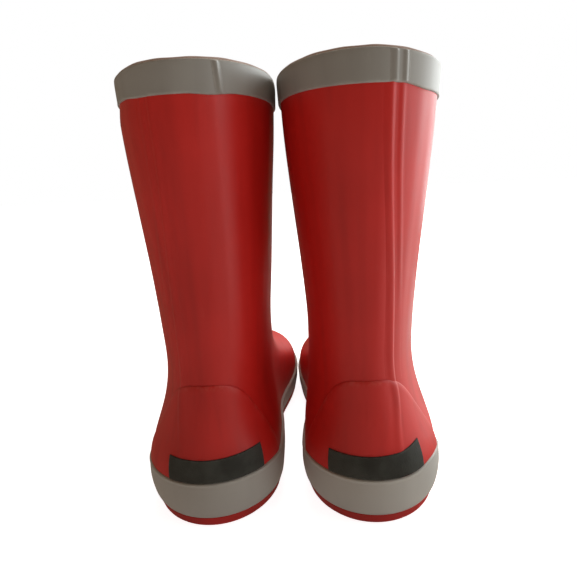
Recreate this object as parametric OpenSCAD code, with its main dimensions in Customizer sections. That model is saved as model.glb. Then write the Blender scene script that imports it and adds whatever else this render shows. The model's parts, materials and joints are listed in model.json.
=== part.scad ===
// A pair of short rubber deck boots, built up from their own layers: sole unit,
// rubber upper, bonded trim, knit lining and a loose footbed.
// Frame: +X from the left boot to the right one, +Y to the toes, +Z up. The floor is
// z = 0 and the origin is under the middle of the pair. Each sub-part is drawn once,
// for the right boot, with its heel at y = 0, and the left boot is its mirror image.

/* [Boot] */
// Length of one boot from heel to toe
boot_length = 286; // [278:1:294]
// Height of the leg above the floor
boot_height = 264; // [254:1:284]
// Width of the rubber across the heel
heel_width = 86; // [82:1:90]
// Width of the rubber across the ball of the foot
ball_width = 94; // [91:1:95]
// Width of the leg at its narrowest, over the ankle
ankle_width = 68; // [65:1:71]
// Width of the leg at the collar
top_width = 91; // [87:1:93]
// Depth of the leg at the collar, front to back
top_depth = 146; // [140:1:150]
// Clear space between the two boots where they come closest
pair_gap = 1.2; // [1:0.2:40]

/* [Layers] */
// Thickness of the rubber upper
upper_t = 2.2; // [1.8:0.1:2.4]
// Thickness of the knit lining
lining_t = 1.2; // [0.8:0.1:1.4]
// Thickness of the foxing band round the foot
foxing_t = 2.2; // [1.6:0.1:2.6]
// Thickness of the bonded overlays
overlay_t = 0.8; // [0.6:0.1:1]
// Thickness of the collar band
collar_t = 1.2; // [0.8:0.1:1.6]

/* [Sole] */
// Thickness of the outsole
sole_t = 5; // [4.4:0.2:6]
// Depth of the tread grooves
groove_depth = 2; // [1:0.25:2.5]
// Width of the tread grooves
groove_width = 3; // [2:0.5:4]
// Number of grooves under the ball of the foot
ball_grooves = 8; // [4:1:9]
// Number of grooves under the heel
heel_grooves = 4; // [2:1:5]
// Height of the sponge midsole under the heel
midsole_heel = 10; // [8:0.5:12]
// Height of the sponge midsole under the toes
midsole_toe = 4; // [3:0.5:5]
// Thickness of the footbed
footbed_t = 4.5; // [3.5:0.5:5]

/* [Trim] */
// Height of the foxing's top edge at the heel
foxing_heel = 33; // [31:1:36]
// Height of the foxing's top edge at the waist
foxing_waist = 22; // [19:1:25]
// Height of the foxing's top edge at the toe
foxing_toe = 28; // [25:1:30]
// Height of the collar band
collar_h = 15.5; // [12:0.5:22]
// Height of the heel patch
patch_h = 14; // [11:0.5:16]
// Width of the strip up the back of the leg
strip_w = 10.5; // [8:0.5:12]
// Height of the heel counter's top edge above the floor, at the back
counter_top = 91; // [84:1:95]

/* [Hidden] */

red = [0.62, 0.09, 0.08];
grey = [0.58, 0.57, 0.54];
charcoal = [0.16, 0.16, 0.15];
knit = [0.66, 0.36, 0.34];

gap = 0.3;              // room between layers that move apart
bond = 0.5;             // room under an overlay, where its glue lies
ankle_low = 92;         // top edge of the foot's rubber
ankle_high = 116;       // lower edge of the leg's rubber
narrow_z = 119;         // height at which the leg is narrowest
narrow_back = 8;        // the heel's back line and the instep's front line there
narrow_front = 119;
top_back = -6;          // the leg's back line at the collar
lean = -4;              // the leg stands a little to the inside of the foot
heel_round = 46;        // length over which the heel's outline rounds off
toe_round = 85;         // and the toe's
toe_turn = 4;           // the toe turns in by this much
arch_in = 5.5;          // the waist pulls in on the inside of the foot
arch_out = 3;           // and on the outside
rim_t = 2;              // height of the rolled rim above the rubber and the lining
heel_half = heel_width/2;
ball_half = ball_width/2;
ankle_half = ankle_width/2;

function mix(a, b, k) = a + (b - a)*k;
function smooth(u) = let(c = max(0, min(1, u))) c*c*(3 - 2*c);
function cap(u) = let(c = max(0, min(1, u))) sqrt(c*(2 - c));
function bump(u) = let(c = max(-1, min(1, u))) (1 + cos(180*c))/2;

// Sections of the boot: [height, back, front, rear half width, front half width, shift].
// Each instep row gives a height and how far the back, the front and the two widths are from
// their ankle values; each leg row a height and how far the depth and the width have opened out.
foot_sections = [
    [0, 9, boot_length - 12, heel_half - 8, ball_half - 6, 0],
    [5, 5, boot_length - 6, heel_half - 3.5, ball_half - 2.5, 0],
    [15, 1.5, boot_length, heel_half - 0.8, ball_half - 0.5, 0],
    [30, 0, boot_length - 4, heel_half, ball_half, 0]
];
instep_factors = [[44, 0.88, 0.87, 0.93, 0.86], [54, 0.69, 0.71, 0.76, 0.66], [64, 0.5, 0.53, 0.56, 0.45],
                  [74, 0.31, 0.35, 0.36, 0.26], [86, 0.12, 0.19, 0.15, 0.08], [99, 0, 0.07, 0, 0],
                  [narrow_z, 0, 0, 0, 0]];
leg_factors = [[0.24, 0.14, 0.23], [0.52, 0.45, 0.57], [0.76, 0.77, 0.84], [1, 1, 1]];
sections = concat(
    foot_sections,
    [for (f = instep_factors) [f[0], narrow_back*(1 - f[1]), mix(narrow_front, boot_length, f[2]),
        mix(ankle_half, heel_half, f[3]), mix(ankle_half, ball_half, f[4]), lean*(1 - f[3])]],
    [for (f = leg_factors) [mix(narrow_z, boot_height, f[0]), mix(narrow_back, top_back, f[1]),
        mix(narrow_front, top_back + top_depth, f[1]), mix(ankle_half, top_width/2, f[2]),
        mix(ankle_half, top_width/2, f[2]), lean]]
);
last = len(sections) - 1;

// A smooth curve through one column of the sections
function rise(i, c) = (sections[i + 1][c] - sections[i][c])/(sections[i + 1][0] - sections[i][0]);
function slope(i, c) = i == 0 ? rise(0, c) : i == last ? rise(last - 1, c) : (rise(i - 1, c) + rise(i, c))/2;
function below(z, i = 0) = i == last - 1 || z < sections[i + 1][0] ? i : below(z, i + 1);
function along(z, c) = let(
        i = below(z), step = sections[i + 1][0] - sections[i][0], u = (z - sections[i][0])/step)
    (2*u*u*u - 3*u*u + 1)*sections[i][c] + (u*u*u - 2*u*u + u)*step*slope(i, c)
    + (3*u*u - 2*u*u*u)*sections[i + 1][c] + (u*u*u - u*u)*step*slope(i + 1, c);

// A point of the rubber's outer surface, at height z. The angle goes round the boot:
// 0 is the toe, 90 the outside, 180 the heel and 270 the inside of the foot.
function at(z, a) = let(
        back = along(z, 1), length = along(z, 2) - back, t = (1 - cos(a))/2,
        y = back + length*(1 - t), foot = 1 - smooth((z - 30)/70),
        pull = (sin(a) < 0 ? arch_in : arch_out)*foot*exp(-pow((t - 0.54)/0.14, 2)),
        half = mix(along(z, 4), along(z, 3), smooth((t - 0.3)/0.4)) - pull,
        leg_round = 0.47*length, round_back = mix(leg_round, heel_round, foot),
        round_front = mix(leg_round, min(toe_round, leg_round), foot),
        side = sign(sin(a))*half*cap(length*(1 - t)/round_back)*cap(length*t/round_front))
    [side + along(z, 5) - toe_turn*smooth((y - 120)/160), y, z];

// The direction out of the rubber there. It is level at the sole, so that layers end flush.
function outward(z, a) = let(
        n = cross(at(z + 0.5, a) - at(z - 0.5, a), at(z, a + 0.5) - at(z, a - 0.5)),
        level = [n[0], n[1], n[2]*smooth((z - sole_t)/15)])
    level/norm(level);
function offset_point(z, a, out) = at(z, a) + out*outward(z, a);

// Heights of the rows that all layers of the foot share, at one angle
function front_share(a) = smooth((1 - cos(a))/2/0.3);
function foxing_top(a) = let(t = (1 - cos(a))/2)
    mix(mix(foxing_toe, foxing_waist, smooth(t/0.28)), foxing_heel, smooth((t - 0.5)/0.42));
function foxing_rows(a) = [for (k = [0:3]) mix(sole_t, foxing_top(a), k/3)];
function foot_rows(a) = concat(foxing_rows(a), [for (k = [1:6]) mix(foxing_top(a), ankle_low, k/6)]);
leg_top = boot_height - rim_t;
collar_low = boot_height - collar_h;
leg_rows = [ankle_high, narrow_z + 6, 145, 165, 185, 205, 225, collar_low, leg_top];

// A closed section of one layer: up its outer side and down its inner side
function wall(heights, outer, inner) = concat([for (z = heights) [z, outer]],
    [for (k = [len(heights) - 1:-1:0]) [heights[k], inner]]);

// Sweeps a section round the boot. It is a function of the angle that gives [height, offset] points,
// or [height, offset, angle] points where an overlay's edges don't keep to one angle.
module sweep(section, angles, closed = true) {
    n = len(section(0));
    m = len(angles);
    points = [for (a = angles) each [for (p = section(a)) offset_point(p[0], len(p) > 2 ? p[2] : a, p[1])]];
    // The inner side is split along the same diagonals as the outer side of the layer under it
    sides = [for (j = [0:m - (closed ? 1 : 2)], i = [0:n - 1]) let(
        k = (i + 1) % n, here = j*n, next = (j + 1) % m*n)
        each i < floor(n/2) ? [[here + i, next + i, next + k], [here + i, next + k, here + k]]
                            : [[here + i, next + i, here + k], [next + i, next + k, here + k]]];
    ends = closed ? [] : [for (k = [0:n/2 - 2]) let(p = k, q = k + 1, r = n - 2 - k, s = n - 1 - k, e = (m - 1)*n)
        each [[p, q, r], [p, r, s], [e + r, e + q, e + p], [e + s, e + r, e + p]]];
    polyhedron(points, concat(sides, ends));
}
turn = [for (j = [0:31]) 11.25*j];
function spread(middle, half, count) = [for (j = [0:count]) middle - half + 2*half*j/count];

// The flat outline of the foot at height z, moved out by a distance
module footprint(z, out) polygon([for (j = [0:63]) let(p = offset_point(z, 5.625*j, out)) [p[0], p[1]]]);

// The sole unit slopes down from the heel to the toes
pitch = atan((midsole_heel - midsole_toe)/boot_length);
module on_slope(height) translate([0, 0, sole_t + midsole_heel + height]) rotate([-pitch, 0, 0]) children();

module grooves(first, step, count) {
    for (k = [0:count - 1])
        translate([-ball_width, first + k*step, -1]) cube([2*ball_width, groove_width, groove_depth + 1]);
}

module outsole() color(red) difference() {
    linear_extrude(sole_t) footprint(sole_t, 1.6);
    grooves(0.09*boot_length, 0.045*boot_length, heel_grooves);
    grooves(0.48*boot_length, 0.052*boot_length, ball_grooves);
}

shank_w = 13;
shank_t = 1.2;
shank_start = 0.2*boot_length;
shank_end = 0.52*boot_length;
module shank_shape(width) hull() {
    translate([0, shank_start]) circle(d = width, $fn = 32);
    translate([0, shank_end]) circle(d = width, $fn = 32);
}

module midsole() color("dimgray") difference() {
    translate([0, 0, sole_t]) linear_extrude(midsole_heel) footprint(sole_t, -upper_t - lining_t - gap - 0.6);
    on_slope(0) translate([-ball_width, -20, 0]) cube([2*ball_width, boot_length + 40, 2*midsole_heel]);
    on_slope(-shank_t - 0.1) linear_extrude(2*midsole_heel) shank_shape(shank_w + gap);
}

module shank() color("silver") on_slope(-shank_t - 0.1) linear_extrude(shank_t) shank_shape(shank_w);

board_t = 1.5;
module insole_board() color("tan") on_slope(0) linear_extrude(board_t) footprint(sole_t + 3, -upper_t - lining_t - 1.4);

module footbed() color(knit) on_slope(board_t + gap) linear_extrude(footbed_t) footprint(11, -5.8);

module galosh() color(red) sweep(function(a) wall(foot_rows(a), 0, -upper_t), turn);

module ankle_panel() color(red) sweep(function(a)
    wall([ankle_low, ankle_low + 8, ankle_low + 16, ankle_high - gap], 0, -upper_t), turn);

module leg_shell() color(red) sweep(function(a) wall(leg_rows, 0, -upper_t), turn);

// The lining is bonded inside the foot and hangs free of the leg, up to the collar
lining_rows = [ankle_low + 8, ankle_low + 16, for (z = leg_rows) min(z, leg_top - 2*gap)];
function lining_out(z) = -upper_t - (z < ankle_high ? 0 : gap);
module lining() color(knit) sweep(function(a) let(rows = concat(foot_rows(a), lining_rows)) concat(
    [for (z = rows) [z, lining_out(z)]],
    [for (k = [len(rows) - 1:-1:0]) [rows[k], lining_out(rows[k]) - lining_t]]), turn);

// The heel counter has upright sides and a rounded top: its edge is one half of a superellipse
counter_half = 43;
counter_power = 3.2;
function counter_edge(a) = let(u = min(1, abs(a - 180)/counter_half))
    mix(foxing_top(a) + 4, counter_top, pow(1 - pow(u, counter_power), 1/counter_power));
module heel_counter() color(red) sweep(function(a) wall(
    [for (k = [0:5]) mix(foxing_top(a) + gap, counter_edge(a), k/5)], bond + overlay_t, bond),
    [for (j = [0:24]) 180 - counter_half*cos(7.5*j)], closed = false);

toe_guard_half = 45;
module toe_guard() color(grey) sweep(function(a) wall(
    [for (k = [0:2]) mix(sole_t + 6, foxing_top(a) - 3, k/2)], foxing_t + bond + 1, foxing_t + bond),
    spread(0, toe_guard_half, 16), closed = false);

module foxing() color(grey) sweep(function(a) let(h = foxing_rows(a)) concat(
    [[h[0], 0.7*foxing_t], [h[1], foxing_t], [h[2], foxing_t], [h[3], 0.6*foxing_t]],
    [for (k = [3:-1:0]) [h[k], 0]]), turn);

// The heel patch is as wide at its top as at its foot, so it covers more of the turn up there
patch_half = 22.8;
patch_flare = 2.6;
module heel_patch(middle) color(charcoal) sweep(function(a) [for (p = wall(
    [for (k = [0:2]) k/2], 2*(bond + overlay_t), 2*bond + overlay_t))
    let(turned = middle + a*(patch_half + patch_flare*p[0]))
    [foxing_top(turned) + 0.3 + patch_h*p[0], p[1], turned]], spread(0, 1, 10), closed = false);

// The back strip runs up the outer side of the heel, and swings out a little round the ankle
function strip_line(z) = 161.5 - 9.5*bump((z - 110)/125);
function degree(z, a) = norm(at(z, a + 0.5) - at(z, a - 0.5));
module back_strip() color(red) sweep(function(a) [for (p = wall(
    [counter_top + 2, 99, 106, 113, narrow_z, 126, 138, 150, 165, 180, 197, 214, 230, collar_low - gap],
    bond + overlay_t, bond)) let(line = strip_line(p[0])) [p[0], p[1], line + a*strip_w/2/degree(p[0], line)]],
    spread(0, 1, 4), closed = false);

// The collar band lies on the leg and rolls over its top edge, down to the lining's inner face
collar_inner = lining_out(leg_top) - lining_t;
collar_section = [[collar_low, 0], [collar_low, collar_t], [leg_top - 1, collar_t], [leg_top + 0.7, 0.6*collar_t],
    [boot_height, -0.6], [boot_height, collar_inner + 0.9], [leg_top + 0.9, collar_inner], [leg_top, collar_inner],
    [leg_top, 0]];
module collar_band() color(grey) sweep(function(a) collar_section, turn);

module collar_lap(middle, half) color(grey) sweep(function(a) wall(
    [collar_low + 0.4, boot_height - collar_h/2, leg_top - 1.4], collar_t + bond + 0.5, collar_t + bond),
    spread(middle, half, 4), closed = false);

// Where each boot stands
closest = top_width/2 - lean + collar_t;
boot_x = closest + pair_gap/2;
middle_y = (boot_length + foxing_t + 1.5 + top_back - collar_t)/2;
module right_boot() translate([boot_x, -middle_y, 0]) children();
module left_boot() mirror([1, 0, 0]) right_boot() children();
left_lap = [208, 2.8];
right_lap = [160.5, 5.6];
left_patch = 186;
right_patch = 180;

left_boot() outsole();  // left_outsole
left_boot() midsole();  // left_midsole
left_boot() shank();  // left_shank
left_boot() insole_board();  // left_insole_board
left_boot() footbed();  // left_footbed
left_boot() galosh();  // left_galosh
left_boot() ankle_panel();  // left_ankle_panel
left_boot() leg_shell();  // left_leg_shell
left_boot() lining();  // left_lining
left_boot() heel_counter();  // left_heel_counter
left_boot() toe_guard();  // left_toe_guard
left_boot() foxing();  // left_foxing
left_boot() heel_patch(left_patch);  // left_heel_patch
left_boot() back_strip();  // left_back_strip
left_boot() collar_band();  // left_collar_band
left_boot() collar_lap(left_lap[0], left_lap[1]);  // left_collar_lap
right_boot() outsole();  // right_outsole
right_boot() midsole();  // right_midsole
right_boot() shank();  // right_shank
right_boot() insole_board();  // right_insole_board
right_boot() footbed();  // right_footbed
right_boot() galosh();  // right_galosh
right_boot() ankle_panel();  // right_ankle_panel
right_boot() leg_shell();  // right_leg_shell
right_boot() lining();  // right_lining
right_boot() heel_counter();  // right_heel_counter
right_boot() toe_guard();  // right_toe_guard
right_boot() foxing();  // right_foxing
right_boot() heel_patch(right_patch);  // right_heel_patch
right_boot() back_strip();  // right_back_strip
right_boot() collar_band();  // right_collar_band
right_boot() collar_lap(right_lap[0], right_lap[1]);  // right_collar_lap
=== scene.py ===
"""A pair of red rubber deck boots, seen from behind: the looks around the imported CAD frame."""

import json
import math

import bpy
import numpy as np
from mathutils import Matrix, Vector


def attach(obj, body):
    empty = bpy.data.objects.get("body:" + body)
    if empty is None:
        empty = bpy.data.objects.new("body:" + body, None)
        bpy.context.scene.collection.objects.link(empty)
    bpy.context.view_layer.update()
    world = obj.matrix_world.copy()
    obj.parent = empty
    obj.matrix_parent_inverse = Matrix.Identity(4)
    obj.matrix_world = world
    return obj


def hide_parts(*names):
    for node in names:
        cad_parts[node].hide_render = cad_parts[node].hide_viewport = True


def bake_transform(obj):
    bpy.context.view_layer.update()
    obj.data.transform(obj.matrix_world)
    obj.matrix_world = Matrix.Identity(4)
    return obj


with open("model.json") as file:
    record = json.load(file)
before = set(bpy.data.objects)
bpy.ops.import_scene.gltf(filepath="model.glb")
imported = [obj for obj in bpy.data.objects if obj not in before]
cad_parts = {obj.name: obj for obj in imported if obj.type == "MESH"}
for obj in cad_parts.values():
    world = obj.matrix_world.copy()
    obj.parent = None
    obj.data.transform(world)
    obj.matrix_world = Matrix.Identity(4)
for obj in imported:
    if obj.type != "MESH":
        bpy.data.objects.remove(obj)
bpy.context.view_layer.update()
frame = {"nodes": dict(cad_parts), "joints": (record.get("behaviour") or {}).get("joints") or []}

# ---------------------------------------------------------------- the boot's shape
# Everything in this part is in millimetres and degrees, for the right boot with its heel at y = 0.
# The left boot is its mirror image, apart from the small differences given by side.

MM = 0.001
SIDES = {"left": -1, "right": 1}
ANKLE = Vector(next(j["pos_m"] for j in frame["joints"] if j["name"] == "right_ankle_flex")) / MM
ANKLE_Y = 63
BOOT_X = ANKLE.x
MIDDLE_Y = ANKLE_Y - ANKLE.y

# The boot's outline. HEEL, BALL, ANKLE_HALF and TOP_HALF are half widths over the rubber.
# NARROW_Z is where the leg is narrowest, LEAN how far its middle lies towards the inside, and TOP_ROLL
# how far its top edge is rolled in.
LENGTH = 286
HEIGHT = 264
HEEL = 86 / 2
BALL = 94 / 2
ANKLE_HALF = 68 / 2
TOP_HALF = 91 / 2
TOP_DEPTH = 146
NARROW_Z = 119
LEAN = -4
TOP_ROLL = 0.9

# Thicknesses, and the gaps between layers
UPPER_T = 2.2
LINING_T = 1.2
FOXING_T = 2.2
OVERLAY_T = 0.8
COLLAR_T = 1.2
SOLE_T = 5
MIDSOLE_HEEL = 10
MIDSOLE_TOE = 4
BOARD_T = 1.5
FOOTBED_T = 4.5
GAP = 0.3
BOND = 0.5

# Where the layers lie. COUNTER_POWER is how square the counter's arch is: 2 would be an ellipse.
ANKLE_HIGH = 116
COLLAR_LOW = HEIGHT - 15.5
LEG_TOP = HEIGHT - 2
FOXING_TOE = 28
FOXING_SIDE = 22
FOXING_HEEL = 33
GUARD_HALF = 45
COUNTER_TOP = 91
COUNTER_HALF = 43
COUNTER_POWER = 3.2
PATCH_HALF = 22.8
PATCH_FLARE = 2.6
PATCH_H = 14
STRIP_W = 10.5
STRIP_ANGLE = 161.5

# The sole's grooves: the first one's place, their spacing, both as shares of the length, and how many
GROOVES = ((0.09, 0.045, 4), (0.48, 0.052, 8))
GROOVE_DEPTH = 2.0
SIPE_DEPTH = 0.9

# Differences between the two boots
STRIP_RELIEF = {"left": 0.5, "right": 1}                           # share of the beads' full height
LAP = {"left": (208, 2.8), "right": (161.6, 6.4)}                  # middle and half width in degrees
BAND_SHIFT = {"left": (0.6, -0.7, 0.7), "right": (-3, -1, 0.1)}    # outside, heel, inside
TILT = {"left": (1.6, 0.6), "right": (0.5, 1.8)}                   # rise inside, dip outside
FOXING_RISE = {"left": 0, "right": 3}
PATCH_MIDDLE = {"left": 186, "right": 180}
PATCH_LEAN = {"left": 0, "right": 1.3}
LEFT_CALF_FULLER = 1.8
LEFT_COLLAR_TIGHTER = 1.5
RIGHT_LEG_WIDER = 2.5


def mix(a, b, k):
    return a + (b - a) * k


def smooth(u):
    c = np.clip(u, 0, 1)
    return c * c * (3 - 2 * c)


def cap(u):
    c = np.clip(u, 0, 1)
    return np.sqrt(c * (2 - c))


# height, back, front, rear half width, front half width, shift
FOOT = [[0, 9, LENGTH - 12, HEEL - 8, BALL - 6, 0],
        [5, 5, LENGTH - 6, HEEL - 3.5, BALL - 2.5, 0],
        [15, 1.5, LENGTH, HEEL - 0.8, BALL - 0.5, 0],
        [30, 0, LENGTH - 4, HEEL, BALL, 0]]
# height, then how far back, front, rear and front half width are from the ankle's (0) to the foot's (1)
INSTEP = [[44, 0.88, 0.87, 0.93, 0.86], [54, 0.69, 0.71, 0.76, 0.66], [64, 0.5, 0.53, 0.56, 0.45],
          [74, 0.31, 0.35, 0.36, 0.26], [86, 0.12, 0.19, 0.15, 0.08], [99, 0, 0.07, 0, 0],
          [NARROW_Z, 0, 0, 0, 0]]
# share of the way up the leg, then how far depth and half width are from the ankle's to the top's
LEG = [[0.24, 0.14, 0.23], [0.52, 0.45, 0.57], [0.76, 0.77, 0.84], [1, 1, 1]]
# every level with the columns of FOOT
SECTIONS = np.array(
    FOOT
    + [[z, 8 * (1 - b), mix(119, LENGTH, f), mix(ANKLE_HALF, HEEL, r), mix(ANKLE_HALF, BALL, w),
        LEAN * (1 - r)] for z, b, f, r, w in INSTEP]
    + [[mix(NARROW_Z, HEIGHT, h), mix(8, -6, d), mix(119, TOP_DEPTH - 6, d),
        mix(ANKLE_HALF, TOP_HALF, w), mix(ANKLE_HALF, TOP_HALF, w), LEAN] for h, d, w in LEG])
RISES = np.diff(SECTIONS, axis=0) / np.diff(SECTIONS[:, :1], axis=0)
SLOPES = np.vstack([RISES[:1], (RISES[1:] + RISES[:-1]) / 2, RISES[-1:]])


def along(z, column):
    """A smooth curve through one column of the sections, at height z."""
    i = np.clip(np.searchsorted(SECTIONS[:, 0], z, side="right") - 1, 0, len(SECTIONS) - 2)
    step = SECTIONS[i + 1, 0] - SECTIONS[i, 0]
    u = (z - SECTIONS[i, 0]) / step
    low, high = SECTIONS[i, column], SECTIONS[i + 1, column]
    return ((2 * u**3 - 3 * u**2 + 1) * low + (u**3 - 2 * u**2 + u) * step * SLOPES[i, column]
            + (3 * u**2 - 2 * u**3) * high + (u**3 - u**2) * step * SLOPES[i + 1, column])


def at(z, a):
    """A point of the rubber's outer surface. The angle is 0 at the toe, 90 outside, 180 at the heel."""
    z, a = np.broadcast_arrays(np.asarray(z, float), np.asarray(a, float))
    cos, sin = np.cos(np.radians(a)), np.sin(np.radians(a))
    back = along(z, 1)
    length = along(z, 2) - back
    t = (1 - cos) / 2
    y = back + length * (1 - t)
    foot = 1 - smooth((z - 30) / 70)
    pull = np.where(sin < 0, 5.5, 3) * foot * np.exp(-(((t - 0.54) / 0.14) ** 2))
    half = mix(along(z, 4), along(z, 3), smooth((t - 0.3) / 0.4)) - pull
    leg_round = 0.47 * length
    round_back = mix(leg_round, 46, foot)
    round_front = mix(leg_round, np.minimum(85, leg_round), foot)
    side = np.sign(sin) * half * cap(length * (1 - t) / round_back) * cap(length * t / round_front)
    return np.stack([side + along(z, 5) - 4 * smooth((y - 120) / 160), y, z], -1)


def outward(z, a):
    """The direction out of the rubber. It is level at the sole."""
    n = np.cross(at(z + 0.5, a) - at(z - 0.5, a), at(z, a + 0.5) - at(z, a - 0.5))
    n[..., 2] *= smooth((z - SOLE_T) / 15)
    return n / np.linalg.norm(n, axis=-1, keepdims=True)


def lifted(z, a, out):
    """The points at a distance outside the rubber's outer surface."""
    z, a, out = np.broadcast_arrays(np.asarray(z, float), np.asarray(a, float), np.asarray(out, float))
    rolled_in = TOP_ROLL * smooth((z - HEIGHT + 7) / 10) ** 2
    return at(z, a) + (out - rolled_in)[..., None] * outward(z, a)


def foxing_top(a, side=None):
    """The height of the foxing's top edge. On the right boot it rises a little at the outer back."""
    t = (1 - np.cos(np.radians(a))) / 2
    rise = FOXING_RISE.get(side, 0) * bump((a - 148) / 22)
    front = mix(FOXING_TOE, FOXING_SIDE, smooth(t / 0.28))
    return mix(front, FOXING_HEEL, smooth((t - 0.5) / 0.42)) + rise


def counter_reach(z, a):
    """How far a point is towards the heel counter's edge: 0 at the middle of its foot, 1 on the edge."""
    u = np.abs(a - 180) / COUNTER_HALF
    w = np.clip((z - foxing_top(a) - 4) / (COUNTER_TOP - foxing_top(a) - 4), 0, 1)
    return (u**COUNTER_POWER + w**COUNTER_POWER) ** (1 / COUNTER_POWER)


def counter_edge(a):
    u = np.clip(np.abs(a - 180) / COUNTER_HALF, 0, 1)
    return mix(foxing_top(a) + 4, COUNTER_TOP, (1 - u**COUNTER_POWER) ** (1 / COUNTER_POWER))


def top_tilt(side, z, a):
    """The collar dips a little on the outer side of the leg and rises on the inner one."""
    sin = np.sin(np.radians(a))
    inside, outside = TILT[side]
    return (inside * np.clip(-sin, 0, 1) - outside * smooth(sin / 0.8)) * smooth((z - COLLAR_LOW) / 14)


def strip_line(z):
    """The angle of the back strip's middle line. On the heel counter it turns back towards the heel."""
    return STRIP_ANGLE - 9.5 * bump((z - 110) / 125) + 7 * smooth((84 - z) / 36)


def degree(z, a):
    """How many millimetres one degree covers."""
    return np.linalg.norm(at(z, a + 0.5) - at(z, a - 0.5), axis=-1)


def strip_beads(side, z, a):
    """The soft beads along the strip's two edges, in millimetres. The outer one fades above the ankle.
    They are lower on the left boot."""
    s = (a - strip_line(z)) * degree(z, strip_line(z)) / (STRIP_W / 2)
    main = 0.85 * lapped(s - 0.62, 1.0, 0.45) * mix(0.5, 1, smooth((z - 50) / 30))
    outer = 0.36 * lapped(s + 0.5, 0.5, 0.42) * smooth((z - 118) / 55)
    return (main + outer) * STRIP_RELIEF[side]


def lapped(s, gentle, steep):
    """The soft step of a lapped sheet: it climbs gently on one side and falls off steeply on the other."""
    return bump(np.where(s > 0, s / gentle, s / steep))


def bump(s):
    """A soft hump: 1 at s = 0 and 0 from s = 1 on."""
    return 0.5 + 0.5 * np.cos(np.pi * np.clip(np.abs(s), 0, 1))


def rounded(distance, radius):
    """How far a face has risen, from 0 to 1, at a distance from its rounded edge."""
    return cap(np.asarray(distance) / radius)


def edged(length, radius, step, turns=6):
    """Distances along a strip of that length, close together in its two rounded edges."""
    corner = radius * (1 - np.cos(np.linspace(0, np.pi / 2, turns)))
    middle = np.linspace(radius, length - radius, max(3, int((length - 2 * radius) / step) + 2))
    return np.concatenate([corner, middle[1:-1], length - corner[::-1]])


# ---------------------------------------------------------------- meshes

def grid_faces(rows, columns, closed, stride):
    """The corners of each quad of a grid, as indices into a grid with that many columns."""
    r, c = np.meshgrid(np.arange(rows - 1), np.arange(columns if closed else columns - 1), indexing="ij")
    r, c = r.ravel(), c.ravel()
    d = (c + 1) % stride
    return np.stack([r * stride + c, r * stride + d, (r + 1) * stride + d, (r + 1) * stride + c], -1)


def placed(side, points):
    """Points in metres in the shared frame. Each boot has its own slight bend: the left leg is fuller on
    the inside and its collar tighter outside, and the right leg opens a little wider outside."""
    x, y, z = points.reshape(-1, 3).T
    if side == "left":
        pull = (-LEFT_CALF_FULLER * smooth(-x / 30) * bump((z - 135) / 85)
                - LEFT_COLLAR_TIGHTER * smooth(x / 30) * smooth((z - 238) / 14))
    else:
        pull = RIGHT_LEG_WIDER * smooth(x / 30) * np.clip((z - 120) / 144, 0, 1)
    y = y - MIDDLE_Y
    return np.stack([(x + pull + BOOT_X) * SIDES[side], y, z], -1) * MM


def solid(name, side, outer, inner, closed=False, wear=None):
    """A closed solid between two grids of points, rows by columns. A closed one runs round the boot.
    The UV map is in metres: u round the boot on its middle row, v up its first column."""
    rows, columns = outer.shape[:2]
    uv_columns = columns + 1 if closed else columns
    faces = grid_faces(rows, columns, closed, columns)
    corners = grid_faces(rows, columns, closed, uv_columns)
    far = rows * columns
    uv_far = rows * uv_columns
    sheets = [faces, faces[:, ::-1] + far]
    maps = [corners, corners[:, ::-1] + uv_far]

    def edge(line, uv_line):
        a, b = line[:-1], line[1:]
        p, q = uv_line[:-1], uv_line[1:]
        sheets.append(np.stack([b, a, a + far, b + far], -1))
        maps.append(np.stack([q, p, p + uv_far, q + uv_far], -1))

    ring = np.arange(uv_columns)
    top = (rows - 1) * columns
    uv_top = (rows - 1) * uv_columns
    edge(ring % columns, ring)
    edge((top + ring % columns)[::-1], (uv_top + ring)[::-1])
    if not closed:
        climb = np.arange(rows)
        edge((climb * columns)[::-1], (climb * uv_columns)[::-1])
        edge(climb * columns + columns - 1, climb * uv_columns + uv_columns - 1)
    faces = np.concatenate(sheets)
    corners = np.concatenate(maps)

    points = placed(side, np.concatenate([outer.reshape(-1, 3), inner.reshape(-1, 3)]))
    a, b, c, d = (points[faces[:, k]] for k in range(4))
    volume = (np.cross(a, b) * c).sum() + (np.cross(a, c) * d).sum()
    if volume < 0:
        faces, corners = faces[:, ::-1], corners[:, ::-1]

    wrapped = np.concatenate([outer, outer[:, :1]], 1) if closed else outer
    middle = wrapped[rows // 2]
    u = np.concatenate([[0], np.cumsum(np.linalg.norm(np.diff(middle, axis=0), axis=1))]) * MM
    v = np.concatenate([[0], np.cumsum(np.linalg.norm(np.diff(wrapped[:, 0], axis=0), axis=1))]) * MM
    sheet = np.stack(np.broadcast_arrays(u[None, :], v[:, None]), -1).reshape(-1, 2)
    uv = np.concatenate([sheet, sheet])[corners.ravel()]
    return finish_mesh(f"{side}_{name}", points, faces.tolist(), uv, wear)


def finish_mesh(name, points, faces, uv, wear=None):
    """A smooth-shaded object from points and lists of corners, with its UV map, its rest positions and
    how worn each point is."""
    mesh = bpy.data.meshes.new(name)
    mesh.from_pydata(points.tolist(), [], faces)
    layer = mesh.uv_layers.new(name="metres")
    layer.data.foreach_set("uv", uv.astype(np.float32).ravel())
    rest = mesh.attributes.new("rest", "FLOAT_VECTOR", "POINT")
    rest.data.foreach_set("vector", points.astype(np.float32).ravel())
    amount = np.zeros(len(points), np.float32)
    if wear is not None:
        amount[:wear.size] = wear.ravel()
    mesh.attributes.new("wear", "FLOAT", "POINT").data.foreach_set("value", amount)
    mesh.shade_smooth()
    mesh.set_sharp_from_angle(angle=math.radians(42))
    mesh.validate()
    piece = bpy.data.objects.new(name, mesh)
    bpy.context.scene.collection.objects.link(piece)
    return piece


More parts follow.
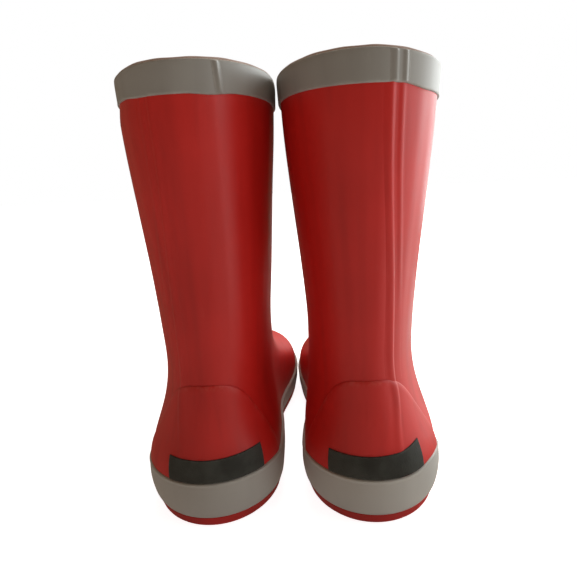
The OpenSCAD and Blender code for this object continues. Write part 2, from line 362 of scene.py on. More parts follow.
TURN = np.linspace(0, 360, 192, endpoint=False)


# ---------------------------------------------------------------- pieces of one boot

def upper(side):
    """The skin of red rubber, from the sole to the collar, with the last's faint flutes in the leg."""
    z = np.linspace(SOLE_T, LEG_TOP, 124)[:, None] + 0 * TURN
    a = np.radians(TURN)[None, :]
    leg = smooth((z - 70) / 90)
    flutes = 0.10 * np.sin(9 * a + 0.6) + 0.07 * np.sin(17 * a + 1.9) + 0.05 * np.sin(29 * a + 4.1)
    sway = 0.10 * np.sin(z / 31 + 3 * a) * smooth((z - 40) / 60)
    out = leg * flutes + sway * 0.6
    z = z + top_tilt(side, z, TURN)
    return solid("upper", side, lifted(z, TURN, out), lifted(z, TURN, -UPPER_T), True)


def lining(side):
    """The knit lining, with a flat seam up its back."""
    z = np.linspace(SOLE_T, LEG_TOP - 2 * GAP, 110)[:, None] + 0 * TURN
    outside = -UPPER_T - GAP * smooth((z - ANKLE_HIGH + 6) / 6)
    seam = 0.35 * bump((TURN - 180) / 4)
    z = z + top_tilt(side, z, TURN)
    return solid("lining", side, lifted(z, TURN, outside), lifted(z, TURN, outside - LINING_T - seam), True)


def heel_counter(side):
    """The stiffened heel under its own skin, with a soft rounded edge, and the strip's bead running in."""
    a = 180 - COUNTER_HALF * np.cos(np.linspace(0, np.pi, 130))
    z = mix(foxing_top(a) + GAP, counter_edge(a), edged(1, 0.06, 0.02)[:, None])
    edge = 34 * (1 - counter_reach(z, a))
    rise = rounded(edge, 2.8)
    out = 0.25 + (BOND + OVERLAY_T - 0.45) * rise + strip_beads(side, z, a + 0 * z) * rise
    return solid("heel_counter", side, lifted(z, a, out), lifted(z, a, -0.3), False, 1 - smooth(edge / 3))


def back_strip(side):
    """The reinforcing strip up the back of the leg."""
    low, high = COUNTER_TOP - 4, COLLAR_LOW + 0.6
    z = low + edged(high - low, 1.5, 2.5)[:, None]
    line = strip_line(z)
    share = edged(2.7, 0.2, 0.07)[None, :] - 1
    a = line + share * STRIP_W / 2 / degree(z, line)
    out = 0.06 * rounded(np.minimum(1 + share, 1.7 - share), 0.4) + strip_beads(side, z, a)
    return solid("back_strip", side, lifted(z, a, out), lifted(z, a, -0.4), False)


def foxing(side):
    """The grey band round the foot, bulging and tucking under, with a bead along its top edge."""
    top = foxing_top(TURN, side)
    wall = np.linspace(0, 0.86, 22)
    turned_edge = mix(0.86, 1, np.sin(np.linspace(0, np.pi / 2, 10))[1:])
    z = mix(SOLE_T, top[None, :], np.concatenate([wall, turned_edge])[:, None])
    down = top - z
    swell = mix(0.62 * FOXING_T, FOXING_T, smooth((z - SOLE_T) / 8)) - 0.45 * smooth(1 - down / 12)
    bead = 0.28 * bump((down - 1.1) / 1.0) - 0.12 * bump((down - 2.7) / 0.8)
    out = swell * (0.3 + 0.7 * rounded(down, 0.8)) + bead
    return solid("foxing", side, lifted(z, TURN, out), lifted(z, TURN, -0.3), True, 1 - smooth(down / 3))


def toe_guard(side):
    """The bumper at the toe, with three shallow ribs."""
    a = -GUARD_HALF + edged(2 * GUARD_HALF, 1.5, 1.1)
    low, high = SOLE_T + 6 + 0 * a, foxing_top(a) - 3
    z = mix(low, high, edged(1, 0.08, 0.025)[:, None])
    edge = np.minimum(np.minimum(z - low, high - z), np.minimum(a - a[0], a[-1] - a))
    height = (z - low) / (high - low)
    ribs = 0.45 * sum(bump((height - k) / 0.11) for k in (0.26, 0.5, 0.74)) * rounded(edge, 2)
    out = FOXING_T + 0.15 + 1.05 * rounded(edge, 1.2) + ribs
    return solid("toe_guard", side, lifted(z, a, out), lifted(z, a, FOXING_T - 0.6), False,
                 1 - smooth(edge / 2))


def heel_patch(side):
    """The plain charcoal patch on the heel."""
    share = edged(2, 0.03, 0.03)[None, :] - 1
    up = edged(1, 0.04, 0.05)[:, None]
    a = PATCH_MIDDLE[side] + share * (PATCH_HALF + PATCH_FLARE * up)
    z = foxing_top(a, side) + GAP + PATCH_H * up - PATCH_LEAN[side] * share * up
    edge = np.minimum(np.minimum(up, 1 - up) * PATCH_H, (1 - np.abs(share)) * PATCH_HALF * 0.72)
    out = BOND + OVERLAY_T - 0.1 + OVERLAY_T * rounded(edge, 0.45)
    return solid("heel_patch", side, lifted(z, a, out), lifted(z, a, 0.4), False, 1 - smooth(edge / 1.2))


def band_low(side, a):
    """The height of the collar band's lower edge, which wanders a little round the leg."""
    a = np.asarray(a, float)
    outside, heel, inside = BAND_SHIFT[side]
    near = mix(outside, heel, smooth((a - 140) / 20))
    sag = 0.8 * bump((a - LAP["left"][0] + 4) / 16) if side == "left" else 0
    shift = mix(near, inside, smooth((a - 180) / 60)) + (outside - inside) * smooth((a - 290) / 70)
    return COLLAR_LOW - sag + shift


def collar_band(side):
    """The grey band round the top of the leg."""
    low, high = band_low(side, TURN), LEG_TOP + 1
    share = edged(1, 0.9 / 16, 1.0 / 16)[:, None]
    z = mix(low[None, :], high, share)
    edge = np.minimum(z - low, high - z)
    thick = 0.35 + (COLLAR_T - 0.35) * rounded(edge, 0.9)
    z = z + top_tilt(side, z, TURN)
    return solid("collar_band", side, lifted(z, TURN, thick), lifted(z, TURN, -0.4), True,
                 1 - smooth(edge / 2))


def collar_lap(side):
    """The raised lap in the collar band: the band's overlap, or the back strip showing through it."""
    middle, half = LAP[side]
    share = edged(2, 0.2, 0.08)[None, :] - 1
    low, high = float(band_low(side, middle)) + 0.3, LEG_TOP + 0.6
    z = low + edged(high - low, 0.7, 1.0)[:, None]
    wide = half > 4
    slant = 0 if wide else 1.7 * (0.5 - (z - low) / (high - low))
    a = middle + share * half + slant
    edge = np.minimum(np.minimum(z - low, high - z), (1 - np.abs(share)) * half * 0.8)
    pair = 0.95 * lapped(share - 0.42, 0.58, 0.32) + 0.75 * lapped(share + 0.48, 0.35, 0.32)
    beads = pair if wide else 1.0 * bump(share / 0.8)
    out = COLLAR_T - 0.1 + ((0.14 if wide else 0.3) + beads) * rounded(edge, 0.9)
    z = z + top_tilt(side, z, a)
    return solid("collar_lap", side, lifted(z, a, out), lifted(z, a, COLLAR_T - 0.6), False,
                 1 - smooth(edge / 1.5))


def top_rim(side):
    """The lining turned over the top edge, a soft roll between the collar band and the inside. Its knit is
    a paler copy of the lining's, a painted highlight on the edge.
    """
    around = np.linspace(0, 2 * np.pi, 22, endpoint=False)[:, None]
    power = 0.8
    across = np.sign(np.cos(around)) * np.abs(np.cos(around)) ** power
    up = np.sign(np.sin(around)) * np.abs(np.sin(around)) ** power
    waver = 0.12 * np.sin(np.radians(TURN) * 7 + 1) + 0.08 * np.sin(np.radians(TURN) * 19)
    z = LEG_TOP + 0.6 + (1.6 + waver) * up
    out = -1.75 + 2.3 * across + 0 * TURN
    ring = lifted(z, TURN, out)
    ring[..., 2] += top_tilt(side, LEG_TOP, TURN)
    return loop_solid("top_rim", side, ring)


def loop_solid(name, side, ring):
    """A ring round the boot from a closed section: rows are the section's points. Its UV map takes
    every ring to be as long and as thick as the top rim."""
    rim_length, rim_girth = 0.38, 0.012
    rows, columns = ring.shape[:2]
    r, c = np.meshgrid(np.arange(rows), np.arange(columns), indexing="ij")
    r, c = r.ravel(), c.ravel()
    e, d = (r + 1) % rows, (c + 1) % columns
    faces = np.stack([r * columns + c, r * columns + d, e * columns + d, e * columns + c], -1)
    points = placed(side, ring)
    corner_u = np.stack([c, c + 1, c + 1, c], -1) * (rim_length / columns)
    corner_v = np.stack([r, r, r + 1, r + 1], -1) * (rim_girth / rows)
    p, q, s, t = (points[faces[:, k]] for k in range(4))
    if (np.cross(p, q) * s).sum() + (np.cross(p, s) * t).sum() < 0:
        faces, corner_u, corner_v = faces[:, ::-1], corner_u[:, ::-1], corner_v[:, ::-1]
    uv = np.stack([corner_u.ravel(), corner_v.ravel()], -1)
    return finish_mesh(f"{side}_{name}", points, faces.tolist(), uv)


def sole_rows(count, crowd=0.7):
    """Angles from just off the toe to just off the heel, a little closer at the two ends."""
    even = np.arccos(np.clip(1 - 2 * np.linspace(0, 1, count), -1, 1))
    turn = np.linspace(0, np.pi, count)
    return np.degrees(np.clip(mix(turn, even, crowd), 0.012, np.pi - 0.012))


def across_foot(z, out, rows, share):
    """Points across the foot, rows by columns: share is 0 on the inside edge and 1 on the outside one."""
    right = lifted(z, rows, out)
    left = lifted(z, 360 - rows, out)
    return mix(left[:, None, :], right[:, None, :], share[None, :, None])


def outsole(side):
    """The moulded red outsole with cut sipes: wide grooves where the CAD has them, fine ones between."""
    rows = sole_rows(470)
    share = 0.5 - 0.5 * np.cos(np.linspace(0, np.pi, 84))
    share = mix(share, np.linspace(0, 1, 84), 0.75)
    wall_section = [(SOLE_T - 0.1, 0), (3.4, 0.6), (2.2, 0.6), (1.2, 0.4), (0.5, 0), (0.1, -0.5)]
    walls = [across_foot(SOLE_T, out, rows, np.array([0.0, 1.0])) for _, out in wall_section]
    floor = across_foot(SOLE_T, -0.8, rows, share)
    x, y = floor[..., 0], floor[..., 1]
    inset = np.minimum(x - floor[:, :1, 0], floor[:, -1:, 0] - x)
    inset = np.minimum(inset, np.minimum(y - y.min(), y.max() - y))
    wave = y + 1.3 * np.sin(2 * np.pi * x / 13)
    depth = np.zeros_like(y)
    for first, step, count in GROOVES:
        for k in range(count):
            middle = (first + k * step) * LENGTH + 1.5
            depth = np.maximum(depth, GROOVE_DEPTH * smooth((1.9 - np.abs(wave - middle)) / 0.7))
            if k < count - 1:
                sipe = middle + step * LENGTH / 2
                depth = np.maximum(depth, SIPE_DEPTH * smooth((1.0 - np.abs(wave - sipe)) / 0.6))
    floor[..., 2] = depth * smooth((inset - 2.5) / 2)
    for (height, _), wall in zip(wall_section, walls):
        wall[..., 2] = height
    left = np.stack([w[:, 0] for w in walls[::-1]], 1)
    right = np.stack([w[:, 1] for w in walls], 1)
    top = mix(walls[0][:, :1], walls[0][:, 1:], np.linspace(0, 1, 6)[None, 1:-1, None])
    section = np.concatenate([floor, right[:, ::-1], top[:, ::-1], left[:, ::-1]], 1)
    tread = np.zeros(section.shape[:2])
    tread[:, :floor.shape[1]] = 1 - 0.6 * smooth(floor[..., 2] / 1.5)
    return lofted("outsole", side, section, wear=tread)


def sole_edge(side):
    """The outsole's rounded red edge, which laps up over the foxing's lower edge."""
    height_and_out = np.array([(0.1, -0.9), (0.1, -0.3), (0.5, 0.3), (1.2, 1.0), (2.2, 1.6), (3.4, 2.0),
                               (5.2, 2.15), (6.6, 2.1), (7.3, 1.85), (7.6, 1.45), (6.8, 0.8), (5, 0.2),
                               (3, -0.6), (1, -1)])
    z, out = height_and_out[:, :1] + 0 * TURN, height_and_out[:, 1:] + 0 * TURN
    ring = lifted(np.maximum(z, SOLE_T), TURN, out)
    ring[..., 2] = z
    return loop_solid("sole_edge", side, ring)


def lofted(name, side, section, wear=None):
    """A solid from closed cross-sections, one row each, with its two ends closed."""
    rows, columns = section.shape[:2]
    r, c = np.meshgrid(np.arange(rows - 1), np.arange(columns), indexing="ij")
    r, c = r.ravel(), c.ravel()
    d = (c + 1) % columns
    faces = np.stack([r * columns + c, r * columns + d, (r + 1) * columns + d, (r + 1) * columns + c], -1)
    points = placed(side, section)
    p, q, s, t = (points[faces[:, k]] for k in range(4))
    ends = [list(range(columns))[::-1], [(rows - 1) * columns + k for k in range(columns)]]
    if (np.cross(p, q) * s).sum() + (np.cross(p, s) * t).sum() < 0:
        faces = faces[:, ::-1]
        ends = [e[::-1] for e in ends]
    every = faces.tolist() + ends
    corners = np.concatenate([np.asarray(f) for f in every])
    return finish_mesh(f"{side}_{name}", points, every, points[corners][:, :2], wear)


def footbed(side):
    """The loose footbed: foam under a knit cover, crowned, cupped at the heel and raised at the arch."""
    rows = sole_rows(120)
    share = edged(1, 0.05, 0.028)
    outline_z, outline_out = 11, -5.8
    base = across_foot(outline_z, outline_out, rows, share)
    y = base[..., 1]
    width = base[:, -1:, 0] - base[:, :1, 0]
    across = 2 * share[None, :] - 1
    from_side = np.minimum(share, 1 - share)[None, :] * width
    from_end = np.minimum(y - y.min(), y.max() - y)
    edge = np.minimum(from_side, from_end)
    heel = 1 - smooth((y - 30) / 60)
    arch = bump((y - 120) / 70) * smooth(-across - 0.1)
    cup = (3.2 * heel + 2.4 * arch) * smooth((np.abs(across) - 0.35) / 0.65)
    slope = (MIDSOLE_HEEL - MIDSOLE_TOE) / LENGTH
    bottom_z = SOLE_T + MIDSOLE_HEEL + BOARD_T + GAP - slope * y
    thick = FOOTBED_T * (0.45 + 0.55 * rounded(edge, 2.4)) - 0.5 * bump((y - 205) / 60) * (1 - across**2)
    top, bottom = base.copy(), base.copy()
    top[..., 2] = bottom_z + thick + cup
    bottom[..., 2] = bottom_z + 0.35 * cup * rounded(edge, 6)
    return solid("footbed", side, top, bottom, False, 1 - smooth(edge / 2))


# ---------------------------------------------------------------- materials

class Nodes:
    """A short way to write a material's nodes."""

    def __init__(self, name):
        self.material = bpy.data.materials.new(name)
        self.material.use_nodes = True
        self.tree = self.material.node_tree
        self.tree.nodes.clear()
        self.out = self.add("ShaderNodeOutputMaterial")
        self.shader = self.add("ShaderNodeBsdfPrincipled")
        self.link(self.shader.outputs[0], self.out.inputs["Surface"])

    def add(self, kind, **settings):
        node = self.tree.nodes.new(kind)
        for key, value in settings.items():
            setattr(node, key, value)
        return node

    def link(self, source, target):
        if isinstance(source, (int, float)):
            target.default_value = source
        elif isinstance(source, (tuple, list)):
            target.default_value = (*source, 1.0) if len(source) == 3 and target.type == "RGBA" else source
        else:
            self.tree.links.new(source, target)

    def place(self, from_mesh):
        """The piece's rest position in metres."""
        if from_mesh:
            return self.add("ShaderNodeAttribute", attribute_name="rest").outputs["Vector"]
        return self.add("ShaderNodeTexCoord").outputs["Object"]

    def attribute(self, name):
        return self.add("ShaderNodeAttribute", attribute_name=name).outputs["Fac"]

    def math(self, operation, a, b=0.0, c=0.0):
        node = self.add("ShaderNodeMath", operation=operation)
        for socket, value in zip(node.inputs, (a, b, c)):
            self.link(value, socket)
        return node.outputs[0]

    def scaled(self, vector, scale):
        node = self.add("ShaderNodeMapping")
        self.link(vector, node.inputs["Vector"])
        node.inputs["Scale"].default_value = scale
        return node.outputs[0]

    def noise(self, vector, scale, detail=3.0, roughness=0.55):
        node = self.add("ShaderNodeTexNoise")
        self.link(vector, node.inputs["Vector"])
        node.inputs["Scale"].default_value = scale
        node.inputs["Detail"].default_value = detail
        node.inputs["Roughness"].default_value = roughness
        return node.outputs["Fac"]

    def ramp(self, value, low, high, out_low=0.0, out_high=1.0):
        node = self.add("ShaderNodeMapRange", interpolation_type="SMOOTHSTEP")
        self.link(value, node.inputs["Value"])
        limits = {"From Min": low, "From Max": high, "To Min": out_low, "To Max": out_high}
        for name, number in limits.items():
            node.inputs[name].default_value = number
        return node.outputs["Result"]

    def blend(self, a, b, factor):
        node = self.add("ShaderNodeMix", data_type="RGBA")
        self.link(factor, node.inputs["Factor"])
        self.link(a, node.inputs["A"])
        self.link(b, node.inputs["B"])
        return node.outputs["Result"]

    def bump(self, height, distance, strength=1.0, normal=None):
        node = self.add("ShaderNodeBump")
        self.link(height, node.inputs["Height"])
        node.inputs["Distance"].default_value = distance
        node.inputs["Strength"].default_value = strength
        if normal is not None:
            self.link(normal, node.inputs["Normal"])
        return node.outputs["Normal"]

    def finish(self, colour, roughness, normal, **constant):
        self.link(colour, self.shader.inputs["Base Color"])
        self.link(roughness, self.shader.inputs["Roughness"])
        self.link(normal, self.shader.inputs["Normal"])
        for name, value in constant.items():
            self.shader.inputs[name.replace("_", " ")].default_value = value
        return self.material


def tone(colour, factor):
    return tuple(min(1.0, c * factor) for c in colour)


def rubber(name, colour, pale, roughness=0.4, grain=0.00004, streaks=0.5, from_mesh=True):
    """Satin rubber: drawn streaks up the leg, soft mottling, dust in its pores, rubbed edges."""
    n = Nodes(name)
    place = n.place(from_mesh)
    broad = n.noise(place, 14, 2)
    drawn = n.noise(n.scaled(place, (1, 1, 0.03)), 110, 2, 0.5)
    specks = n.noise(place, 900, 2, 0.7)
    base = n.blend(tone(colour, 0.92), tone(colour, 1.05), n.ramp(broad, 0.3, 0.7))
    base = n.blend(base, tone(colour, 0.72), n.math("MULTIPLY", n.ramp(drawn, 0.45, 0.8), streaks))
    base = n.blend(base, pale, n.ramp(specks, 0.66, 0.85, 0.0, 0.10))
    scuff = n.noise(n.scaled(place, (1, 1, 0.35)), 60, 6, 0.75)
    scuff = n.ramp(scuff, 0.60, 0.74)
    worn = n.math("MULTIPLY", n.attribute("wear"), n.ramp(n.noise(place, 160, 4, 0.7), 0.4, 0.7))
    base = n.blend(base, pale, n.math("MULTIPLY", scuff, 0.05))
    base = n.blend(base, pale, n.math("MULTIPLY", worn, 0.22))
    rough = n.math("ADD", n.ramp(broad, 0.3, 0.7, roughness - 0.04, roughness + 0.05),
                   n.math("MULTIPLY", scuff, 0.07))
    rough = n.math("ADD", rough, n.math("MULTIPLY", worn, 0.12))
    fine = n.noise(place, 2600, 2, 0.6)
    ripple = n.noise(n.scaled(place, (1, 1, 0.12)), 240, 2, 0.5)
    normal = n.bump(ripple, 0.00008, 0.5)
    normal = n.bump(fine, grain, 0.6, normal)
    return n.finish(base, rough, normal, Specular_IOR_Level=0.45)


def moulded_rubber(name, colour, pale):
    """The outsole: matt, with the mould's sandblasted texture and dust in its grooves."""
    n = Nodes(name)
    place = n.place(True)
    broad = n.noise(place, 25, 3)
    base = n.blend(tone(colour, 0.8), tone(colour, 1.1), n.ramp(broad, 0.3, 0.7))
    dirt = n.math("MULTIPLY", n.attribute("wear"), n.ramp(n.noise(place, 70, 6, 0.7), 0.42, 0.68))
    base = n.blend(base, pale, n.math("MULTIPLY", dirt, 0.35))
    blast = n.noise(place, 1500, 3, 0.65)
    rough = n.math("ADD", n.ramp(broad, 0.3, 0.7, 0.52, 0.62), n.math("MULTIPLY", dirt, 0.2))
    return n.finish(base, rough, n.bump(blast, 0.00012, 0.6), Specular_IOR_Level=0.35)


def patch_rubber(name, colour):
    """The heel patch: nearly black rubber with a pebbled grip texture."""
    n = Nodes(name)
    place = n.place(True)
    cells = n.add("ShaderNodeTexVoronoi", feature="SMOOTH_F1")
    n.link(place, cells.inputs["Vector"])
    cells.inputs["Scale"].default_value = 1100
    broad = n.noise(place, 60, 4)
    base = n.blend(tone(colour, 0.75), tone(colour, 1.35), n.ramp(broad, 0.3, 0.7))
    worn = n.math("MULTIPLY", n.attribute("wear"), n.ramp(n.noise(place, 240, 4, 0.7), 0.4, 0.7))
    base = n.blend(base, (0.16, 0.155, 0.14), n.math("MULTIPLY", worn, 0.3))
    rough = n.ramp(broad, 0.3, 0.7, 0.55, 0.7)
    return n.finish(base, rough, n.bump(cells.outputs["Distance"], 0.0002, 0.6), Specular_IOR_Level=0.3)


def knit(name, colour, dark, wale, course):
    """Brushed weft knit: columns of V-shaped stitches with fuzz over them, with painted shade in the dark
    gaps between the stitches. Sizes are in metres.
    """
    n = Nodes(name)
    uv = n.add("ShaderNodeSeparateXYZ")
    n.link(n.add("ShaderNodeUVMap", uv_map="metres").outputs["UV"], uv.inputs[0])
    place = n.place(True)
    column = n.math("DIVIDE", uv.outputs["X"], wale)
    lean = n.math("ABSOLUTE", n.math("SUBTRACT", n.math("FRACT", column), 0.5))
    row = n.math("ADD", n.math("DIVIDE", uv.outputs["Y"], course), lean)
    legs = n.math("ABSOLUTE", n.math("SINE", n.math("MULTIPLY", column, 2 * math.pi)))
    loops = n.math("SINE", n.math("MULTIPLY", row, 2 * math.pi))
    loops = n.math("ADD", n.math("MULTIPLY", loops, 0.5), 0.5)
    stitch = n.math("MULTIPLY", legs, n.math("ADD", n.math("MULTIPLY", loops, 0.7), 0.3))
    fuzz = n.noise(place, 1700, 4, 0.7)
    broad = n.noise(place, 30, 3)
    # Painted shade: the dark colour fills the low gaps between the stitches, the same shape as the bump
    # below.
    base = n.blend(dark, colour, n.ramp(stitch, 0.0, 0.7))
    base = n.blend(base, tone(colour, 1.15), n.ramp(fuzz, 0.45, 0.75, 0.0, 0.6))
    base = n.blend(base, tone(dark, 0.8), n.ramp(broad, 0.5, 0.8, 0.0, 0.35))
    normal = n.bump(stitch, 0.00035, 0.8)
    normal = n.bump(fuzz, 0.00015, 0.6, normal)
    rough = n.ramp(fuzz, 0.3, 0.7, 0.85, 0.95)
    return n.finish(base, rough, normal, Sheen_Weight=0.35, Sheen_Roughness=0.5, Specular_IOR_Level=0.2)


def sponge(name, colour):
    """Closed-cell sponge: a dark field of small open bubbles where it was cut, with painted shade darkening
    each bubble's pit.
    """
    n = Nodes(name)
    place = n.place(False)
    cells = n.add("ShaderNodeTexVoronoi", feature="SMOOTH_F1")
    n.link(place, cells.inputs["Vector"])
    cells.inputs["Scale"].default_value = 900
    depth = n.ramp(cells.outputs["Distance"], 0.1, 0.6)
    # Painted shade: the colour darkens into each bubble's pit, where the bump is lowest.
    base = n.blend(tone(colour, 0.5), tone(colour, 1.2), depth)
    base = n.blend(base, tone(colour, 1.7), n.ramp(n.noise(place, 40, 3), 0.45, 0.8, 0.0, 0.5))
    return n.finish(base, n.ramp(depth, 0.0, 1.0, 0.9, 0.75), n.bump(depth, 0.0003, 0.7),
                    Specular_IOR_Level=0.25)


def fibre_board(name, colour):
    """Pressed fibre board: pale and dark fibres lying every way."""
    n = Nodes(name)
    place = n.place(False)
    long_fibres = n.noise(n.scaled(place, (1, 0.12, 1)), 900, 3, 0.6)
    cross_fibres = n.noise(n.scaled(place, (0.12, 1, 1)), 900, 3, 0.6)
    base = n.blend(tone(colour, 0.7), tone(colour, 1.15), n.ramp(long_fibres, 0.35, 0.65))
    base = n.blend(base, tone(colour, 0.55), n.ramp(cross_fibres, 0.58, 0.75, 0.0, 0.7))
    rough = n.ramp(n.noise(place, 80, 3), 0.3, 0.7, 0.75, 0.9)
    return n.finish(base, rough, n.bump(long_fibres, 0.00012, 0.5), Specular_IOR_Level=0.3)


def spring_steel(name, colour):
    """The shank: cold-rolled strip with its rolling lines along the foot and a blued film."""
    n = Nodes(name)
    place = n.place(False)
    lines = n.noise(n.scaled(place, (1, 0.02, 1)), 2200, 3, 0.6)
    film = n.noise(place, 45, 4, 0.6)
    base = n.blend(colour, (0.30, 0.33, 0.40), n.ramp(film, 0.45, 0.75, 0.0, 0.6))
    rough = n.math("ADD", n.ramp(lines, 0.3, 0.7, 0.22, 0.38), n.ramp(film, 0.5, 0.8, 0.0, 0.12))
    return n.finish(base, rough, n.bump(lines, 0.00003, 0.6), Metallic=1.0)


RED = (0.62, 0.017, 0.013)
GREY = (0.315, 0.307, 0.285)
# The foxing's grey is the collar's grey rubber made paler: painted light standing in for the bounce from
# the floor below.
GREY_PAINTED_LIT = (0.44, 0.435, 0.41)
MATERIALS = {
    "red_rubber": rubber("red rubber", RED, (0.72, 0.22, 0.19), 0.42),
    "grey_rubber": rubber("grey rubber", GREY, (0.60, 0.58, 0.53), 0.42, streaks=0.3),
    "grey_rubber_painted_lit": rubber("grey rubber painted lit", GREY_PAINTED_LIT, (0.62, 0.60, 0.56), 0.46, streaks=0.12),
    "patch_rubber": patch_rubber("patch rubber", (0.042, 0.046, 0.041)),
    "outsole_rubber": moulded_rubber("outsole rubber", (0.50, 0.016, 0.014), (0.42, 0.30, 0.26)),
    "lining_knit": knit("lining knit", (0.46, 0.20, 0.17), (0.20, 0.07, 0.06), 0.0022, 0.0016),
    # The top rim's knit is the lining knit made paler: a painted highlight on the rolled top edge.
    "lining_knit_painted_lit": knit("lining knit painted lit", (0.62, 0.47, 0.41), (0.34, 0.22, 0.18), 0.0022, 0.0016),
    "footbed_knit": knit("footbed knit", (0.50, 0.48, 0.46), (0.20, 0.20, 0.20), 0.0020, 0.0015),
    "sponge": sponge("closed-cell sponge", (0.10, 0.10, 0.105)),
    "board": fibre_board("fibre board", (0.52, 0.42, 0.29)),
    "shank_steel": spring_steel("spring steel", (0.55, 0.55, 0.56)),
}


# ---------------------------------------------------------------- assembly

def dress(piece, slot, *nodes, look=None):
    """Gives a piece its material and hides the CAD nodes that it stands for. The material is the slot's own
    unless look names another."""
    piece.data.materials.clear()
    piece.data.materials.append(MATERIALS[look or slot])
    if nodes:
        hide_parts(*nodes)


def build_boot(side):
    foot, leg = f"{side}_foot", f"{side}_leg"
    bending = [(upper, "red_rubber", ("galosh", "ankle_panel", "leg_shell")),
               (lining, "lining_knit", ("lining",)),
               (heel_counter, "red_rubber", ("heel_counter",)),
               (back_strip, "red_rubber", ("back_strip",))]
    for make, slot, nodes in bending:
        piece = make(side)
        dress(piece, slot, *(f"{side}_{node}" for node in nodes))
        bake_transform(piece)
    # The foxing and toe guard wear a paler copy of the grey rubber, painted light from below.
    riding = [(foxing, "grey_rubber", "grey_rubber_painted_lit", foot),
              (toe_guard, "grey_rubber", "grey_rubber_painted_lit", foot),
              (heel_patch, "patch_rubber", None, foot),
              (outsole, "outsole_rubber", None, foot),
              (collar_band, "grey_rubber", None, leg),
              (collar_lap, "grey_rubber", None, leg),
              (footbed, "footbed_knit", None, f"{side}_footbed")]
    for make, slot, look, body in riding:
        piece = make(side)
        dress(piece, slot, f"{side}_{make.__name__}", look=look)
        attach(piece, body)
    rim = top_rim(side)
    # Painted highlight: the rim wears a paler copy of the lining knit.
    dress(rim, "lining_knit", look="lining_knit_painted_lit")
    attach(rim, leg)
    edge = sole_edge(side)
    dress(edge, "outsole_rubber")
    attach(edge, foot)
    for node, slot in (("midsole", "sponge"), ("shank", "shank_steel"), ("insole_board", "board")):
        dress(frame["nodes"][f"{side}_{node}"], slot)


# ---------------------------------------------------------------- floor, light and camera, in metres

# name, near left corner, far right corner, height
FLOORS = (("floor", (-8, -8), (8, 8), -0.0003),
          ("floor_by_window", (0.22, -0.5), (1.6, 0.4), -0.0002))
DAYLIGHT = (0.93, 0.99, 1.0)
# place, what it faces, size
FAR_WINDOW = ((0.8, 0.75, 0.5), (0, -0.06, 0.14), (0.9, 1.0))
ROOM = (0.185, 0.128, 0.082, 1)


def build_floor():
    """A plain pale floor that glows a little more towards its far edges, like a lit studio sweep.
    Only its part by the window shows in the boots' shine."""
    n = Nodes("studio floor")
    place = n.place(False)
    for name, (left, near), (right, far), z in FLOORS:
        mesh = bpy.data.meshes.new(name)
        corners = [(left, near, z), (right, near, z), (right, far, z), (left, far, z)]
        mesh.from_pydata(corners, [], [(0, 1, 2, 3)])
        mesh.materials.append(n.material)
        floor = bpy.data.objects.new(name, mesh)
        floor.visible_glossy = name != "floor"
        bpy.context.scene.collection.objects.link(floor)
    distance = n.add("ShaderNodeVectorMath", operation="LENGTH")
    n.link(place, distance.inputs[0])
    n.link((0.97, 0.985, 1.0), n.shader.inputs["Emission Color"])
    seen = n.add("ShaderNodeLightPath").outputs["Is Camera Ray"]
    glow = n.math("MULTIPLY", seen, n.ramp(distance.outputs["Value"], 0.15, 1.0, 0.68, 0.95))
    glow = n.math("ADD", glow, 0.24)
    n.link(glow, n.shader.inputs["Emission Strength"])
    shade = n.ramp(n.noise(place, 3, 3), 0.3, 0.7, 0.55, 0.6)
    normal = n.bump(n.noise(place, 400, 2), 0.00005, 0.3)
    n.finish((0.88, 0.85, 0.81), shade, normal, Specular_IOR_Level=0.1)


def area_light(name, location, target, size, power, colour, only_shine=False):
    """A soft rectangular light, size in metres and power in watts."""
    data = bpy.data.lights.new(name, "AREA")
    data.shape = "RECTANGLE"
    data.size, data.size_y = size
    data.energy = power
    data.color = colour
    light = bpy.data.objects.new(name, data)
    light.visible_diffuse = not only_shine
    light.location = location
    light.rotation_euler = (Vector(target) - Vector(location)).to_track_quat("-Z", "Y").to_euler()
    bpy.context.scene.collection.objects.link(light)


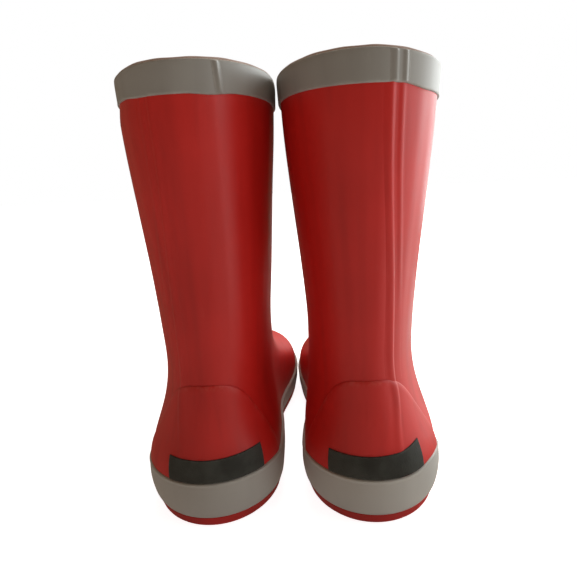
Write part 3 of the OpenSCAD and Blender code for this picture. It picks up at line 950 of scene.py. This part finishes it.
def build_light():
    """Daylight from two windows on the right, one beside the boots and one beyond them, a ceiling light
    and a weak warm room. The far window shines more strongly in the rubber than it lights it."""
    area_light("window", (1.1, -0.05, 0.45), (0, -0.06, 0.11), (1.5, 0.9), 7.5, (0.92, 0.985, 1.0))
    area_light("far window", *FAR_WINDOW, 9, DAYLIGHT)
    area_light("far window's shine", *FAR_WINDOW, 13, DAYLIGHT, only_shine=True)
    area_light("ceiling", (0.15, 0.7, 1.6), (0, 0, 0.1), (1.2, 1.2), 12, (1.0, 0.93, 0.84))
    world = bpy.data.worlds.new("room")
    world.use_nodes = True
    tree = world.node_tree
    tree.nodes.clear()
    seen = tree.nodes.new("ShaderNodeBackground")
    seen.inputs["Color"].default_value = (1, 1, 1, 1)
    room = tree.nodes.new("ShaderNodeBackground")
    room.inputs["Color"].default_value = ROOM
    path = tree.nodes.new("ShaderNodeLightPath")
    choice = tree.nodes.new("ShaderNodeMixShader")
    out = tree.nodes.new("ShaderNodeOutputWorld")
    tree.links.new(path.outputs["Is Camera Ray"], choice.inputs[0])
    tree.links.new(room.outputs[0], choice.inputs[1])
    tree.links.new(seen.outputs[0], choice.inputs[2])
    tree.links.new(choice.outputs[0], out.inputs[0])
    bpy.context.scene.world = world


def build_camera():
    """From behind the boots, below their collars, turned slightly and rolled as a hand-held camera."""
    stands_at = Vector((0.0169, -0.3883, 0.2044))
    turned, tilted, rolled = (math.radians(v) for v in (2.82, 12.72, 2.96))
    data = bpy.data.cameras.new("camera")
    data.sensor_width = 36
    data.lens = 29.78
    data.clip_start = 0.01
    camera = bpy.data.objects.new("camera", data)
    turn = (Matrix.Rotation(turned, 4, "Z") @ Matrix.Rotation(math.pi / 2 - tilted, 4, "X")
            @ Matrix.Rotation(-rolled, 4, "Z"))
    camera.matrix_world = Matrix.Translation(stands_at) @ turn
    bpy.context.scene.collection.objects.link(camera)
    bpy.context.scene.camera = camera


for side in SIDES:
    build_boot(side)
build_floor()
build_light()
build_camera()
bpy.context.scene.view_settings.view_transform = "Standard"
